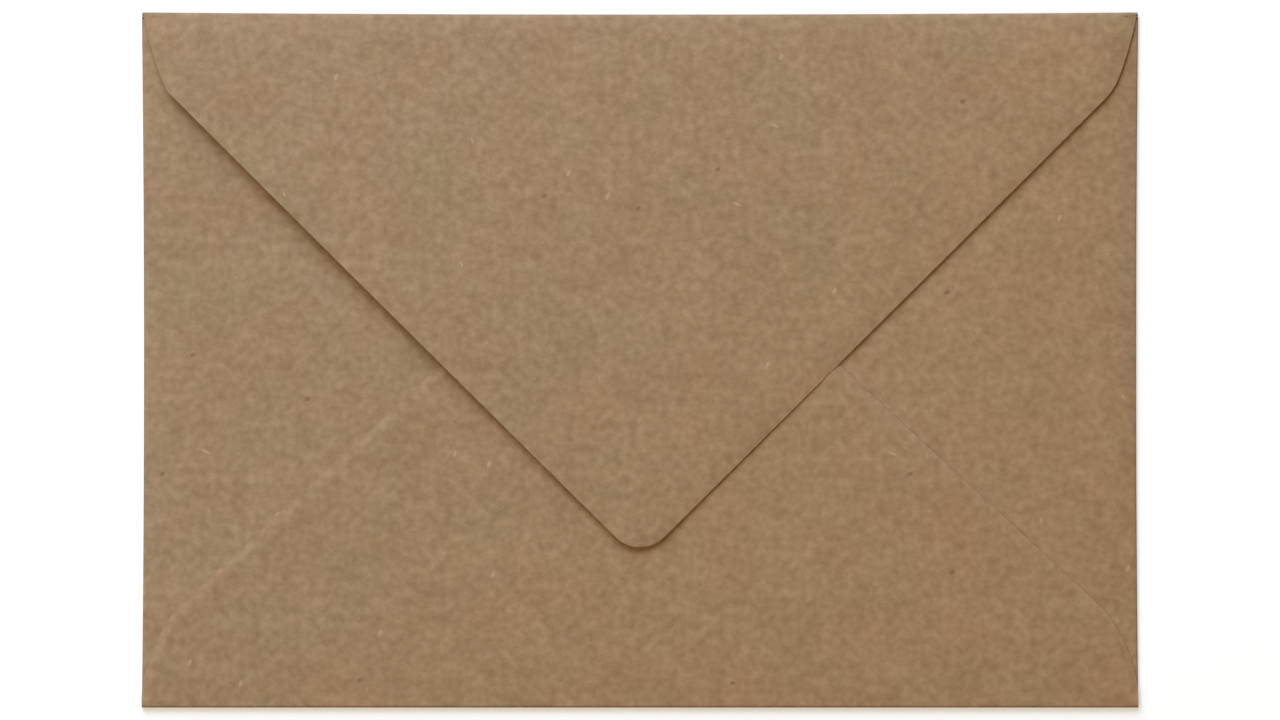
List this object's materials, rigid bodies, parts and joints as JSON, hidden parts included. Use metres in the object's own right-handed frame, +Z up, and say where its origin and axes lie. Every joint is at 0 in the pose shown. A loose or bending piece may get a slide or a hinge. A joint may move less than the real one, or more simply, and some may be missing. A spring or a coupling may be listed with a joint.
{
  "type": "envelope",
  "caption": "Closed oblong kraft paper envelope with a rounded V-shaped top flap folded over diagonal gummed seams.",
  "frame": {"origin": "under the middle of the front panel, on the surface that the envelope lies on", "axes": "+X along the long side, +Y towards the top fold, +Z up through the layers to the closed top flap"},
  "size_m": [0.162, 0.113, 0.0023],
  "materials": {
    "kraft_paper": "matte uncoated brown kraft with fine mottled fibres"
  },
  "bodies": {
    "root": {"envelope": "kraft_paper"}
  },
  "joints": []
}
